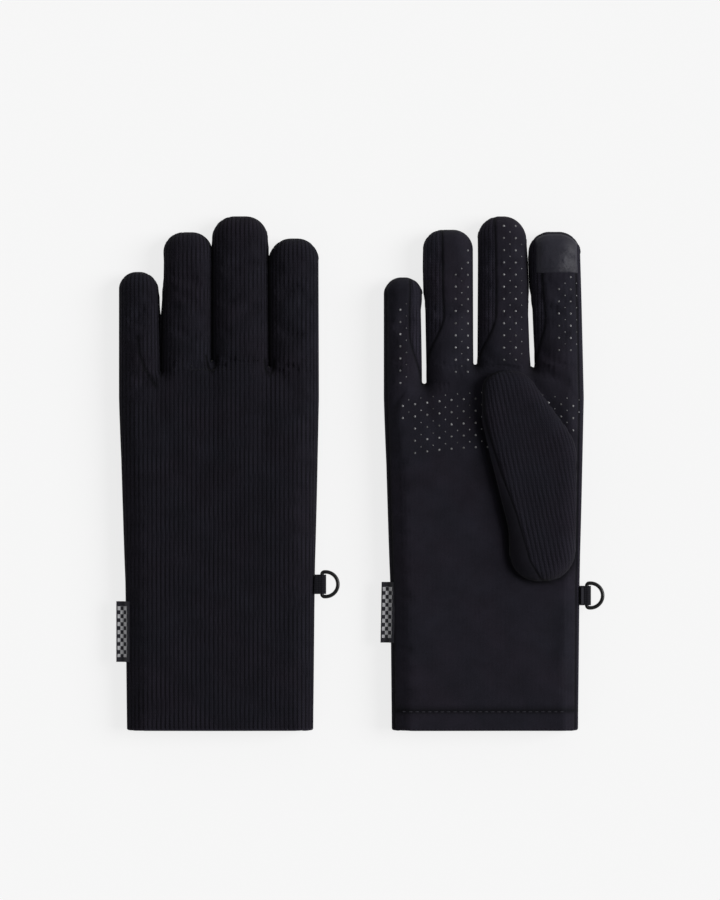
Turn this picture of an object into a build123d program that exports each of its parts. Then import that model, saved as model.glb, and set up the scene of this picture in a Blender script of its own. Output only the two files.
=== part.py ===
"""A pair of knitted touchscreen gloves lying flat on a table, fingertips towards +Y.

The left-hand glove lies back up, with its thumb folded under the palm. The right-hand
glove lies palm up, with its thumb folded over the palm. Each glove is a thin fabric shell:
a rib-knit back and a smooth palm, split into a hand, four fingers and a thumb, which are
joined by soft sleeves where the glove bends. Sizes are in millimetres, angles in degrees.
"""

import os
from math import cos, radians, sin

from build123d import *

# ---- Driving dimensions -------------------------------------------------------------

SIDES = ("left", "right")
GLOVE_SPACING = 126.7  # between the middles of the two gloves

# The hand, seen with the little finger to the left
CUFF_LEFT = -44.8
CUFF_RIGHT = 44.4
WRIST_HEIGHT = 70.0
WRIST_LEFT = -45.6
WRIST_RIGHT = 45.2
KNUCKLE_HEIGHT = 158.0
KNUCKLE_LEFT = -48.6
KNUCKLE_RIGHT = 47.2

# The three slots between the fingers, from the little finger to the index finger
SLOT_X = {"left": (-28.3, -4.0, 23.4), "right": (-29.2, -4.8, 22.6)}
SLOT_Y = {"left": (171.0, 176.0, 173.3), "right": (165.6, 174.7, 173.3)}
SLOT_LEAN = {"left": (0.5, 0.0, 0.3), "right": (0.8, 0.0, 2.4)}
SLOT_WIDTH = {"left": 1.0, "right": 1.3}

# The fingertips, from the little finger to the index finger
FINGERS = ("little", "ring", "middle", "index")
TIP_Y = {"left": (218.2, 237.2, 244.8, 234.2), "right": (215.6, 238.4, 244.8, 237.4)}
TIP_RADIUS = (8.4, 9.6, 10.4, 10.2)
OUTER_LEAN = {"left": (0.0, 0.2), "right": (0.0, 1.4)}  # free sides of little and index

# Fabric
HAND_THICKNESS = 12.0  # the flattened glove, both layers and the air in it
EDGE_RADIUS = 5.3
SHELL_WALL = 1.3
LINING_WALL = 0.7
HEM_WALL = 0.7
HEM_HEIGHT = 8.2
STITCH_SIZE = (1.7, 0.5, 0.3)
STITCH_PITCH = 3.0
STITCH_MARGIN = 8.0

# Where a finger bends: hand, soft sleeve, finger
SLEEVE_BEFORE_HINGE = 3.5
SLEEVE_AFTER_HINGE = 7.0
STUB_ABOVE_SLOT = 0.8
BODY_CLEARANCE = 0.3

# Thumb
THUMB_CORNERS = (
    (-1.9, 171.0, 9.0),
    (18.6, 170.6, 11.0),
    (43.3, 137.0, 26.0),
    (42.9, 70.0, 15.5),
    (11.3, 70.0, 14.0),
    (10.6, 95.0, 20.0),
    (-1.9, 147.0, 24.0),
)
THUMB_THICKNESS = 6.8
THUMB_EDGE_RADIUS = 3.0
THUMB_WALL = 1.2
THUMB_LEAN = 9.2
THUMB_HINGE = (26.6, 94.0)
THUMB_BEFORE_HINGE = 3.0
THUMB_AFTER_HINGE = 4.8
THUMB_LIE_GAP = 0.8
THUMB_HOLE_INSET = 4.5
NEST_CLEARANCE = 0.5

# Grip dots and touch patch, on the palm side
DOT_RADIUS = 0.65
DOT_HEIGHT = 0.45
DOT_PITCH = 5.8
FINGER_DOTS = {  # finger: (x of each column, lowest y, rows)
    "little": ((-40.8,), 182.4, 4),
    "ring": ((-14.4, -8.6), 187.6, 7),
    "middle": ((8.6, 14.2), 187.6, 9),
    "index": ((34.8, 40.4), 186.4, 5),
}
PALM_DOT_COLUMNS = 15
PALM_DOT_ROWS = 5
PALM_DOT_START = (-39.6, 132.6)
PATCH_HEIGHT = 19.0
PATCH_SIDE_MARGIN = 3.2
PATCH_WALL = 0.35
PATCH_TIP_MARGIN = 0.8

# Side label, webbing loop and D-ring
LABEL_SIZE = (4.4, 29.0, 0.8)
LABEL_Y = {"left": 46.2, "right": 55.4}
LOOP_Y = {"left": 68.8, "right": 63.4}
LOOP_WIDTH = 9.2
LOOP_REACH = 5.4
LOOP_TAPE = 0.8
SEAM_ROOT = 1.0  # how far a label or loop is cut back into the rounded seam
BARTACK_SIZE = (1.2, 8.0, 0.4)
RING_WIRE = 1.8
RING_HEIGHT = 13.6
RING_CLEAR = 4.7
RING_CORNER = 1.2
RING_CLEARANCE = 0.3

MOST_ROUND = 0.49  # the largest rim radius, as a share of the thickness that it rounds
MARGIN = 20.0  # how far a cutting block runs past what it cuts


# ---- Outlines -----------------------------------------------------------------------


def slot_ends(side, number, inset):
    """The slot's two end points and the bottom of its round end, and its direction."""
    lean = radians(SLOT_LEAN[side][number])
    along = Vector(-sin(lean), cos(lean))
    across = Vector(cos(lean), sin(lean))
    half = SLOT_WIDTH[side] / 2 + inset
    centre = Vector(SLOT_X[side][number], SLOT_Y[side][number])
    return centre - across * half, centre - along * half, centre + across * half, along


def at_height(point, along, height):
    """Where the line from a point along a direction reaches a height."""
    return point + along * ((height - point.Y) / along.Y)


def free_side(side, left, inset):
    """The direction and the top point of the hand's side below the little or index finger."""
    lean = radians(OUTER_LEAN[side][0 if left else 1])
    x = KNUCKLE_LEFT + inset if left else KNUCKLE_RIGHT - inset
    return Vector(x, KNUCKLE_HEIGHT), Vector(-sin(lean), cos(lean))


def tip_corners(side, number, inset):
    """The two corners of a finger's squared-off tip."""
    if number == 0:
        left, left_way = free_side(side, True, inset)
    else:
        left, left_way = slot_ends(side, number - 1, inset)[2:]
    if number == len(FINGERS) - 1:
        right, right_way = free_side(side, False, inset)
    else:
        right, _, _, right_way = slot_ends(side, number, inset)
    height = TIP_Y[side][number] - inset
    return at_height(left, left_way, height), at_height(right, right_way, height)


def glove_outline(side, inset):
    """The glove's outline without its thumb, open past the cuff edge."""
    bottom = -MARGIN
    points = [
        (CUFF_RIGHT - inset, bottom),
        (CUFF_LEFT + inset, bottom),
        (CUFF_LEFT + inset, 0),
        (WRIST_LEFT + inset, WRIST_HEIGHT),
        (KNUCKLE_LEFT + inset, KNUCKLE_HEIGHT),
    ]
    edges = []
    for number in range(len(FINGERS)):
        points += tip_corners(side, number, inset)
        if number < len(FINGERS) - 1:
            near, end, far, _ = slot_ends(side, number, inset)
            edges += Polyline(*points, near).edges()
            edges.append(ThreePointArc(near, end, far))
            points = [far]
    points += [
        (KNUCKLE_RIGHT - inset, KNUCKLE_HEIGHT),
        (WRIST_RIGHT - inset, WRIST_HEIGHT),
        (CUFF_RIGHT - inset, 0),
        (CUFF_RIGHT - inset, bottom),
    ]
    edges += Polyline(*points).edges()
    outline = make_face(edges)
    for number in range(len(FINGERS)):
        for corner in tip_corners(side, number, inset):
            vertex = outline.vertices().sort_by_distance(corner)[0]
            outline = fillet(vertex, TIP_RADIUS[number] - inset)
    return outline


def thumb_outline(grow):
    """The folded thumb's outline, grown or shrunk by a distance."""
    outline = make_face(Polyline(*[(x, y) for x, y, _ in THUMB_CORNERS], close=True))
    for x, y, radius in THUMB_CORNERS:
        vertex = outline.vertices().sort_by_distance((x, y, 0))[0]
        outline = fillet(vertex, radius)
    return offset(outline, amount=grow) if grow else outline


# ---- Soft volumes -------------------------------------------------------------------


def slab(outline, low, high):
    return extrude(Pos(0, 0, low) * outline, high - low)


def pillow(outline, low, high, radius):
    """A slab whose upper and lower rims are rounded, except across the open cuff end."""
    block = slab(outline, low, high)
    radius = min(radius, MOST_ROUND * (high - low))
    rims = [
        edge
        for edge in block.edges()
        if abs(edge.bounding_box().size.Z) < 0.01 and edge.bounding_box().max.Y > 1 - MARGIN
    ]
    return fillet(rims, radius)


def thumb_levels(side):
    """The heights of the thumb's palm face and outer face over the glove's back."""
    if side == "left":
        top = HAND_THICKNESS + DOT_HEIGHT
        return top - THUMB_THICKNESS, top
    low = HAND_THICKNESS + THUMB_LIE_GAP
    return low, low + THUMB_THICKNESS


def volume(side, inset):
    """What the glove fills without its thumb, inset by a distance on every side."""
    radius = EDGE_RADIUS - inset
    body = pillow(glove_outline(side, inset), inset, HAND_THICKNESS - inset, radius)
    if side == "left":
        floor = thumb_levels(side)[0] - NEST_CLEARANCE - inset
        body -= slab(thumb_outline(NEST_CLEARANCE + inset), floor, HAND_THICKNESS + MARGIN)
    return body


def thumb_volume(side, inset):
    low, high = thumb_levels(side)
    outline = thumb_outline(-inset)
    return pillow(outline, low + inset, high - inset, THUMB_EDGE_RADIUS - inset)


def block(x_range, y_range, z_range):
    """A cutting block between three pairs of limits."""
    sizes = [high - low for low, high in (x_range, y_range, z_range)]
    middles = [(high + low) / 2 for low, high in (x_range, y_range, z_range)]
    return Pos(*middles) * Box(*sizes)


FAR = 400.0
WIDE = (-FAR, FAR)
BACK_HALF = block(WIDE, WIDE, (-FAR, HAND_THICKNESS / 2))
PALM_HALF = block(WIDE, WIDE, (HAND_THICKNESS / 2, FAR))
FROM_CUFF = block(WIDE, (0, FAR), WIDE)


# ---- Where things sit ---------------------------------------------------------------


def hinge_height(side, number):
    """The y of a finger's hinge, above the higher of the slots beside it."""
    slots = SLOT_Y[side][max(number - 1, 0) : number + 1]
    return max(slots) + STUB_ABOVE_SLOT + SLEEVE_BEFORE_HINGE


def finger_zone(side, number, low, high):
    """A block round one finger between two distances from its hinge.

    Its sides lean with the slots, so that a leaning finger stays inside it."""
    height = hinge_height(side, number)
    corners = []
    for level in (height + low, height + high):
        row = []
        for neighbour in (number - 1, number):
            if 0 <= neighbour < len(FINGERS) - 1:
                centre = Vector(SLOT_X[side][neighbour], SLOT_Y[side][neighbour])
                row.append(at_height(centre, slot_ends(side, neighbour, 0)[3], level))
            else:
                row.append(Vector(-FAR if neighbour < 0 else FAR, level))
        corners.append(row)
    (a, b), (d, c) = corners
    return slab(make_face(Polyline(a, b, c, d, close=True)), -FAR, FAR)


def thumb_zone(low, high):
    """A block across the thumb between two distances from its hinge."""
    middle = (low + high) / 2
    zone = Pos(0, middle, 0) * Box(2 * FAR, high - low, 2 * FAR)
    return Pos(*THUMB_HINGE, 0) * Rot(0, 0, THUMB_LEAN) * zone


# ---- Pieces of one glove, palm up, back on z = 0 ------------------------------------


def hand_and_fingers(side):
    """The hand's panels, lining and hem, the soft sleeves, and the four finger shells."""
    outer = volume(side, 0)
    inner = volume(side, SHELL_WALL)
    lined = volume(side, SHELL_WALL + LINING_WALL)
    hemmed = volume(side, SHELL_WALL + LINING_WALL + HEM_WALL)
    shell = (outer - inner) & FROM_CUFF
    lining = (inner - lined) & FROM_CUFF
    fingers = {}
    sleeves = []
    for number, name in enumerate(FINGERS):
        fingers[name] = shell & finger_zone(side, number, SLEEVE_AFTER_HINGE, FAR)
        end = SLEEVE_AFTER_HINGE - BODY_CLEARANCE
        sleeves += (shell & finger_zone(side, number, -SLEEVE_BEFORE_HINGE, end)).solids()
        beyond = finger_zone(side, number, -SLEEVE_BEFORE_HINGE, FAR)
        shell -= beyond
        lining -= beyond
    hole = thumb_hole(side)
    pieces = {
        "back_panel": shell & BACK_HALF,
        "palm_panel": (shell & PALM_HALF) - hole,
        "lining": lining - hole,
        "cuff_hem": (lined - hemmed) & block(WIDE, (0, HEM_HEIGHT), WIDE),
        "finger_base_sleeves": Compound(sleeves),
    }
    for name, finger in fingers.items():
        pieces[f"{name}_back"] = finger & BACK_HALF
        pieces[f"{name}_front"] = finger & PALM_HALF
    return pieces


def thumb_hole(side):
    """The way from the hand into the thumb, through the palm and its lining."""
    walls = SHELL_WALL + LINING_WALL + HEM_WALL
    floor = min(thumb_levels(side)[0] - NEST_CLEARANCE, HAND_THICKNESS) - walls
    return slab(thumb_outline(-THUMB_HOLE_INSET), floor, FAR) & thumb_zone(-FAR, 0)


def thumb_pieces(side):
    """The gusset sewn to the palm, its soft sleeve, and the thumb's two halves."""
    low, high = thumb_levels(side)
    shell = thumb_volume(side, 0) - thumb_volume(side, THUMB_WALL)
    middle = (low + high) / 2
    palm_half = block(WIDE, WIDE, (-FAR, middle))
    outer_half = block(WIDE, WIDE, (middle, FAR))
    moving = shell & thumb_zone(THUMB_AFTER_HINGE, FAR)
    floor = slab(thumb_outline(-THUMB_HOLE_INSET), low - MARGIN, middle)
    gusset = (shell & thumb_zone(-FAR, -THUMB_BEFORE_HINGE)) - floor
    seam_gap = THUMB_LIE_GAP if side == "right" else NEST_CLEARANCE
    rim = thumb_outline(-THUMB_EDGE_RADIUS) - thumb_outline(-THUMB_HOLE_INSET)
    rim_zone = thumb_zone(-FAR, -THUMB_BEFORE_HINGE)
    gusset += slab(rim, low - seam_gap, low) & rim_zone
    end = THUMB_AFTER_HINGE - BODY_CLEARANCE
    return {
        "thumb_gusset": gusset,
        "thumb_base_sleeve": shell & thumb_zone(-THUMB_BEFORE_HINGE, end),
        "thumb_back": moving & outer_half,
        "thumb_front": moving & palm_half,
    }


def grip_dots(side):
    """The silicone dots, grouped by the piece that they are printed on."""
    dot = Cylinder(DOT_RADIUS, DOT_HEIGHT, align=(Align.CENTER, Align.CENTER, Align.MIN))
    groups = {}
    for name, (columns, lowest, rows) in FINGER_DOTS.items():
        spots = [(x, lowest + row * DOT_PITCH) for x in columns for row in range(rows)]
        groups[f"{name}_grip_dots"] = spots
    left, lowest = PALM_DOT_START
    groups["palm_grip_dots"] = [
        (left + column * DOT_PITCH, lowest + row * DOT_PITCH)
        for column in range(PALM_DOT_COLUMNS)
        for row in range(PALM_DOT_ROWS)
    ]
    nest = thumb_outline(NEST_CLEARANCE + 2 * DOT_RADIUS).face()
    pieces = {}
    for name, spots in groups.items():
        if side == "left":
            spots = [spot for spot in spots if not nest.is_inside((*spot, 0))]
        dots = [Pos(x, y, HAND_THICKNESS) * dot for x, y in spots]
        pieces[name] = Compound(dots)
    return pieces


def touch_patch(side):
    """The smooth conductive cap on the palm side of the index fingertip."""
    number = FINGERS.index("index")
    skin = volume(side, -PATCH_WALL) - volume(side, 0)
    left, right = tip_corners(side, number, 0)
    top = TIP_Y[side][number] - PATCH_TIP_MARGIN
    window = block(
        (left.X + PATCH_SIDE_MARGIN, right.X - PATCH_SIDE_MARGIN),
        (top - PATCH_HEIGHT, top),
        (HAND_THICKNESS / 2, FAR),
    )
    return skin & window


def edge_x(left, height):
    """The x of the hand's side at a height between the cuff and the knuckles."""
    cuff, wrist, knuckle = (
        (CUFF_LEFT, WRIST_LEFT, KNUCKLE_LEFT) if left else (CUFF_RIGHT, WRIST_RIGHT, KNUCKLE_RIGHT)
    )
    if height < WRIST_HEIGHT:
        return cuff + (wrist - cuff) * height / WRIST_HEIGHT
    share = (height - WRIST_HEIGHT) / (KNUCKLE_HEIGHT - WRIST_HEIGHT)
    return wrist + (knuckle - wrist) * share


def trimmings(side):
    """The side label, the webbing loop with its bar tack, and the D-ring in it."""
    middle = HAND_THICKNESS / 2
    outer = volume(side, 0)
    reach, height, thickness = LABEL_SIZE
    label_edge = edge_x(True, LABEL_Y[side]) - reach
    label = block(
        (label_edge, label_edge + reach + SEAM_ROOT),
        (LABEL_Y[side] - height / 2, LABEL_Y[side] + height / 2),
        (middle - thickness / 2, middle + thickness / 2),
    )
    eye = RING_WIRE / 2 + RING_CLEARANCE
    around = eye + LOOP_TAPE
    hinge = ring_hinge(side)
    tape = LOOP_REACH - around + SEAM_ROOT
    section = Pos(-tape / 2, 0) * Rectangle(tape, 2 * around) + Circle(around) - Circle(eye)
    start = hinge + Vector(0, LOOP_WIDTH / 2, 0)
    standing = Plane(origin=start, x_dir=(1, 0, 0), z_dir=(0, -1, 0))
    loop = extrude(standing * section, LOOP_WIDTH) - outer
    width, tack_height, tack_thickness = BARTACK_SIZE
    tack_x = edge_x(False, LOOP_Y[side]) + width
    tack = block(
        (tack_x - width / 2, tack_x + width / 2),
        (hinge.Y - tack_height / 2, hinge.Y + tack_height / 2),
        (hinge.Z + around, hinge.Z + around + tack_thickness),
    )
    return {
        "side_label": label - outer,
        "webbing_loop": loop,
        "loop_bartack": tack - outer,
        "d_ring": d_ring(side),
    }


def ring_hinge(side):
    """The middle of the D-ring's straight bar, inside the webbing loop."""
    around = RING_WIRE / 2 + RING_CLEARANCE + LOOP_TAPE
    x = edge_x(False, LOOP_Y[side]) + LOOP_REACH - around
    return Vector(x, LOOP_Y[side], HAND_THICKNESS / 2)


def d_ring(side):
    hinge = ring_hinge(side)
    arc = (RING_HEIGHT - RING_WIRE) / 2
    around = RING_WIRE / 2 + RING_CLEARANCE + LOOP_TAPE
    leg = around + RING_CLEAR + RING_WIRE / 2 - arc
    bend = ThreePointArc((leg, -arc), (leg + arc, 0), (leg, arc))
    straight = Polyline((leg, arc), (0, arc), (0, -arc), (leg, -arc))
    outline = make_face([bend, *straight.edges()])
    corners = [vertex for vertex in outline.vertices() if abs(vertex.X) < RING_WIRE / 2]
    path = fillet(corners, RING_CORNER).face().outer_wire()
    section = Plane(origin=(0, 0, 0), z_dir=(0, 1, 0)) * Circle(RING_WIRE / 2)
    return Pos(*hinge) * sweep(section, path=path)


def hem_stitches(side):
    """The row of stitches that holds the hem, on the palm side."""
    length, width, height = STITCH_SIZE
    stitch = Box(length, width, height, align=(Align.CENTER, Align.CENTER, Align.MIN))
    first = edge_x(True, HEM_HEIGHT) + STITCH_MARGIN
    span = edge_x(False, HEM_HEIGHT) - STITCH_MARGIN - first
    count = int(span / STITCH_PITCH) + 1
    start = first + (span - (count - 1) * STITCH_PITCH) / 2
    spots = [start + number * STITCH_PITCH for number in range(count)]
    return Compound([Pos(x, HEM_HEIGHT, HAND_THICKNESS) * stitch for x in spots])


def glove(side):
    """Every piece of one glove in its place on the table."""
    pieces = hand_and_fingers(side)
    pieces.update(thumb_pieces(side))
    pieces.update(grip_dots(side))
    pieces["index_touch_patch"] = touch_patch(side)
    pieces.update(trimmings(side))
    pieces["hem_stitching"] = hem_stitches(side)
    return {name: place(piece, side) for name, piece in pieces.items()}


def place(piece, side):
    """Turn a palm-up piece palm down for the left-hand glove, and put it in its row."""
    if side == "left":
        piece = mirror(piece, about=Plane.XY)
        return Pos(-GLOVE_SPACING / 2, 0, HAND_THICKNESS + DOT_HEIGHT) * piece
    return Pos(GLOVE_SPACING / 2, 0, 0) * piece


def place_point(point, side):
    """The same move as place(), for a point."""
    if side == "left":
        point = Vector(point.X, point.Y, HAND_THICKNESS + DOT_HEIGHT - point.Z)
        return point - Vector(GLOVE_SPACING / 2, 0, 0)
    return point + Vector(GLOVE_SPACING / 2, 0, 0)


def hinges(side):
    """Where each moving piece turns, in the glove's place on the table."""
    middle = HAND_THICKNESS / 2
    points = {"d_ring": ring_hinge(side), "thumb": Vector(*THUMB_HINGE, sum(thumb_levels(side)) / 2)}
    for number, name in enumerate(FINGERS):
        left, right = tip_corners(side, number, 0)
        points[name] = Vector((left.X + right.X) / 2, hinge_height(side, number), middle)
    return {name: place_point(point, side) for name, point in points.items()}


def main():
    os.makedirs("parts", exist_ok=True)
    pieces = {}
    for side in SIDES:
        for name, piece in glove(side).items():
            pieces[f"{side}_{name}"] = piece
    box = Compound([solid for piece in pieces.values() for solid in piece.solids()]).bounding_box()
    shift = Vector(-box.center().X, -box.center().Y, -box.min.Z)
    for name, piece in pieces.items():
        solids = (Pos(*shift) * piece).solids()
        shape = solids[0] if len(solids) == 1 else Compound(solids)
        export_step(shape, f"parts/{name}.step")
    print("size", [round(length, 3) for length in box.size])
    for side in SIDES:
        for name, point in hinges(side).items():
            print(side, name, [round(value, 3) for value in (point + shift)])


if __name__ == "__main__":
    main()
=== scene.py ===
"""The looks of a pair of knitted touchscreen gloves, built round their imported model.

Surfaces are worked out in millimetres in each glove's own outline: x across the hand, with
the little finger to the left, y from the cuff edge to the fingertips, and z up from the
table. The left-hand glove lies back up and the right-hand glove palm up, so both have the
same outline, and "up" and "down" name the upper and the lower surface of either glove.
"""

from math import cos, pi, radians, sin, tan

import bpy
import numpy as np
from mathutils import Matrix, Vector, kdtree


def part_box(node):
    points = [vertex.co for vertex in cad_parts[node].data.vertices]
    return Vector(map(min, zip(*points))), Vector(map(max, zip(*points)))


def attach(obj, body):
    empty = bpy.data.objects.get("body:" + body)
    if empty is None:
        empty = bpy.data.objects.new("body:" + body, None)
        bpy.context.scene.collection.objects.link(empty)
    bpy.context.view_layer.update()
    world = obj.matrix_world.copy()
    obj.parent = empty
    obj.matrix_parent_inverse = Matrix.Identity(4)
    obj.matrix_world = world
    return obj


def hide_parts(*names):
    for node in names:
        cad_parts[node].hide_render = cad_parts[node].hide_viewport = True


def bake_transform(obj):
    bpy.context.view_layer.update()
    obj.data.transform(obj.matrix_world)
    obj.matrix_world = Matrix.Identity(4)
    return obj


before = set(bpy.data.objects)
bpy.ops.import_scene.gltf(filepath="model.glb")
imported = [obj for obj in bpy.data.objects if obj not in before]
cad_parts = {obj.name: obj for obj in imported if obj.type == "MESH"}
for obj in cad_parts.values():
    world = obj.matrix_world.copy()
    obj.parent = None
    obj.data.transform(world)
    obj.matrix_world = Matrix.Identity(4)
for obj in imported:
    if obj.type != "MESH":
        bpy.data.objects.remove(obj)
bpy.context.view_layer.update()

MM = 0.001
SIDES = ("left", "right")
FINGERS = ("little", "ring", "middle", "index")

# ---- The glove's outline, as the design has it, in millimetres -----------------------

CUFF = (-44.8, 44.4)
WRIST_HEIGHT = 70.0
WRIST = (-45.6, 45.2)
KNUCKLE_HEIGHT = 158.0
KNUCKLE = (-48.6, 47.2)
OUTER_LEAN = {"left": (0.0, 0.2), "right": (0.0, 1.4)}
SLOT_X = {"left": (-28.3, -4.0, 23.4), "right": (-29.2, -4.8, 22.6)}
SLOT_Y = {"left": (171.0, 176.0, 173.3), "right": (165.6, 174.7, 173.3)}
SLOT_LEAN = {"left": (0.5, 0.0, 0.3), "right": (0.8, 0.0, 2.4)}
# The gap that the fabric leaves in each slot: heights, and its width there
SLOT_GAP = {
    "left": (
        ((171.0, 171.3, 191.0, 218.0), (0.1, -0.6, -0.4, 3.0)),
        ((176.0, 176.3, 228.0, 240.0), (0.1, -0.6, -0.4, 0.2)),
        ((173.3, 173.6, 222.0, 236.0), (0.1, -0.6, -0.4, 1.0)),
    ),
    "right": (
        ((165.6, 172.0, 200.0, 209.0), (1.8, 2.1, 1.9, 0.5)),
        ((174.7, 182.0, 238.0), (1.6, 2.0, 2.3)),
        ((173.3, 180.0, 198.0, 211.0, 222.0, 240.0), (1.6, 2.4, 2.2, 0.4, 0.3, 1.2)),
    ),
}
TIP_Y = {"left": (218.2, 237.2, 244.8, 234.2), "right": (215.6, 238.4, 244.8, 237.4)}
TIP_RADIUS = (8.4, 9.6, 10.4, 10.2)
HINGE_ABOVE_SLOT = 4.3
BELOW_SLOTS = 150.0
THUMB_CORNERS = (
    (-1.9, 171.0, 9.0),
    (18.6, 170.6, 11.0),
    (43.3, 137.0, 26.0),
    (42.9, 70.0, 15.5),
    (11.3, 70.0, 14.0),
    (10.6, 95.0, 20.0),
    (-1.9, 147.0, 24.0),
)
THUMB_LEAN = 9.2
THUMB_HINGE = (26.6, 94.0)
HEM_HEIGHT = 8.2

# ---- How the fabric lies -------------------------------------------------------------

THICKNESS = 12.0
SEAM_HEIGHT = 5.2  # the side seams lie a little below the middle
TOP_ROLL = 8.0  # how far in from the outline the upper surface rounds over
FLOOR_ROLL = 5.5
FLOOR_GAP = {"left": 0.45, "right": 0.05}
NEST_RISE = 7.2  # the hollow for the left thumb, folded under the hand
NEST_RIM = 2.4
SAG = 0.9
CUFF_SAG = 1.0
FINGER_FULLNESS = 0.6
RIB_PITCH = 2.1
RIB_DEPTH = 0.25
SEAM_DEPTH = 0.35
SEAM_SPREAD = 0.7
COLUMN_STEP = 0.36
ROW_STEP = 1.7
SLOT_END_ROWS = (0, 0.15, 0.4, 0.8, 1.0)  # extra rows round a slot's end, as shares of its radius
WELD = 0.002  # points closer than this become one
LINING_DEPTH = 1.5
HEM_DEPTH = 2.1
BLEND_BEFORE = 5.0
BLEND_AFTER = 8.0


# ---- Outline functions ---------------------------------------------------------------


def outer_side(side, right, y):
    """The x of the hand's free side at heights y."""
    heights = (0.0, WRIST_HEIGHT, KNUCKLE_HEIGHT)
    which = int(right)
    base = np.interp(y, heights, (CUFF[which], WRIST[which], KNUCKLE[which]))
    rise = np.maximum(np.asarray(y, float) - KNUCKLE_HEIGHT, 0)
    return base - tan(radians(OUTER_LEAN[side][which])) * rise


def slot_side(side, slot, right_of_slot, y):
    """The x of one side of a slot, or of its middle line below the slot."""
    heights, widths = SLOT_GAP[side][slot]
    rise = np.asarray(y, float) - SLOT_Y[side][slot]
    middle = SLOT_X[side][slot] - tan(radians(SLOT_LEAN[side][slot])) * rise
    share = np.clip(2 * rise / widths[0] + 1, 0, 1)
    bulge = np.interp(y, heights, widths) / 2 * np.sqrt(np.maximum(1 - (1 - share) ** 2, 0))
    return middle + bulge if right_of_slot else middle - bulge


def band_side(side, finger, right, y):
    """The x of one side of the band of fabric that runs from the cuff into a finger."""
    if finger == 0 and not right:
        return outer_side(side, False, y)
    if finger == len(FINGERS) - 1 and right:
        return outer_side(side, True, y)
    if right:
        return slot_side(side, finger, False, y)
    return slot_side(side, finger - 1, True, y)


def across_band(side, finger, share, y):
    """The points at shares of the way across a band, at heights y."""
    low = band_side(side, finger, False, y)
    high = band_side(side, finger, True, y)
    return np.stack(np.broadcast_arrays(low + (high - low) * share, y), -1)


def tip_height(side, finger, share):
    """The y of the rounded fingertip at a share of the way across it."""
    top, radius = TIP_Y[side][finger], TIP_RADIUS[finger]
    width = band_side(side, finger, True, top) - band_side(side, finger, False, top)
    inside = np.minimum(np.minimum(share, 1 - share) * width, radius)
    return top - radius + np.sqrt(np.maximum(radius**2 - (radius - inside) ** 2, 0))


def finger_base(side, finger):
    """The y of the finger's hinge."""
    return max(SLOT_Y[side][max(finger - 1, 0) : finger + 1]) + HINGE_ABOVE_SLOT


def rounded(corners, steps=10):
    """A closed outline from corners (x, y, radius), each rounded by an arc."""
    points = []
    for index, (x, y, radius) in enumerate(corners):
        here = Vector((x, y))
        back = (Vector(corners[index - 1][:2]) - here).normalized()
        ahead = (Vector(corners[(index + 1) % len(corners)][:2]) - here).normalized()
        half = back.angle(ahead) / 2
        centre = here + (back + ahead).normalized() * (radius / sin(half))
        start = here + back * (radius / tan(half)) - centre
        turn = (pi - 2 * half) * (1 if back.cross(ahead) < 0 else -1)
        for step in range(steps + 1):
            angle = turn * step / steps
            spun = Vector((start.x * cos(angle) - start.y * sin(angle),
                           start.x * sin(angle) + start.y * cos(angle)))
            points.append(tuple(centre + spun))
    return np.array(points)


def glove_outline(side):
    """The whole outline but the cuff edge, from the left of the cuff round to its right."""
    rise = np.array([-30.0, 0.0, WRIST_HEIGHT, KNUCKLE_HEIGHT])
    points = [np.stack([outer_side(side, False, rise), rise], -1)]
    for finger in range(len(FINGERS)):
        share = (1 - np.cos(np.linspace(0, pi, 41))) / 2
        points.append(across_band(side, finger, share, tip_height(side, finger, share)))
        if finger < len(FINGERS) - 1:
            half = SLOT_GAP[side][finger][1][0] / 2
            turn = np.linspace(pi, 2 * pi, 13)
            middle = np.array([SLOT_X[side][finger], SLOT_Y[side][finger]])
            points.append(middle + half * np.stack([np.cos(turn), np.sin(turn)], -1))
    points.append(np.stack([outer_side(side, True, rise[::-1]), rise[::-1]], -1))
    return np.concatenate(points)


def nearest(points, line, closed=False):
    """The distance from each point to a line of straight runs, and the way towards it."""
    starts = line if closed else line[:-1]
    ends = np.roll(line, -1, 0) if closed else line[1:]
    runs = ends - starts
    squared = np.maximum((runs**2).sum(-1), 1e-12)
    flat = points.reshape(-1, 2)
    best = np.full(len(flat), 1e9)
    way = np.zeros_like(flat)
    for start, run, length in zip(starts, runs, squared):
        along = np.clip(((flat - start) @ run) / length, 0, 1)
        gap = start + along[:, None] * run - flat
        distance = np.hypot(gap[:, 0], gap[:, 1])
        closer = distance < best
        best[closer] = distance[closer]
        way[closer] = gap[closer]
    way /= np.maximum(best, 1e-9)[:, None]
    return best.reshape(points.shape[:-1]), way.reshape(points.shape)


def inside(points, outline):
    """Whether each point is inside a closed outline."""
    x, y = points[..., 0], points[..., 1]
    found = np.zeros(x.shape, bool)
    for (x1, y1), (x2, y2) in zip(outline, np.roll(outline, -1, 0)):
        if y1 == y2:
            continue
        crosses = (y1 > y) != (y2 > y)
        found ^= crosses & (x < (x2 - x1) * (y - y1) / (y2 - y1) + x1)
    return found


def smooth(value):
    """A smooth step from 0 to 1."""
    value = np.clip(value, 0, 1)
    return value * value * (3 - 2 * value)


def bell(gap, spread):
    """1 where the gap is 0, falling off as a bell over the spread."""
    return np.exp(-((gap / spread) ** 2))


THUMB_OUTLINE = rounded(THUMB_CORNERS)


def thumb_distance(points):
    """The distance from each point to the thumb's outline, above 0 inside it."""
    distance, _ = nearest(points, THUMB_OUTLINE, closed=True)
    return np.where(inside(points, THUMB_OUTLINE), distance, -distance)


def with_heights(grid, z):
    """The points of a grid with their heights."""
    return np.concatenate([grid, z[..., None]], -1)


# ---- Heights of the lying fabric -----------------------------------------------------


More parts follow.
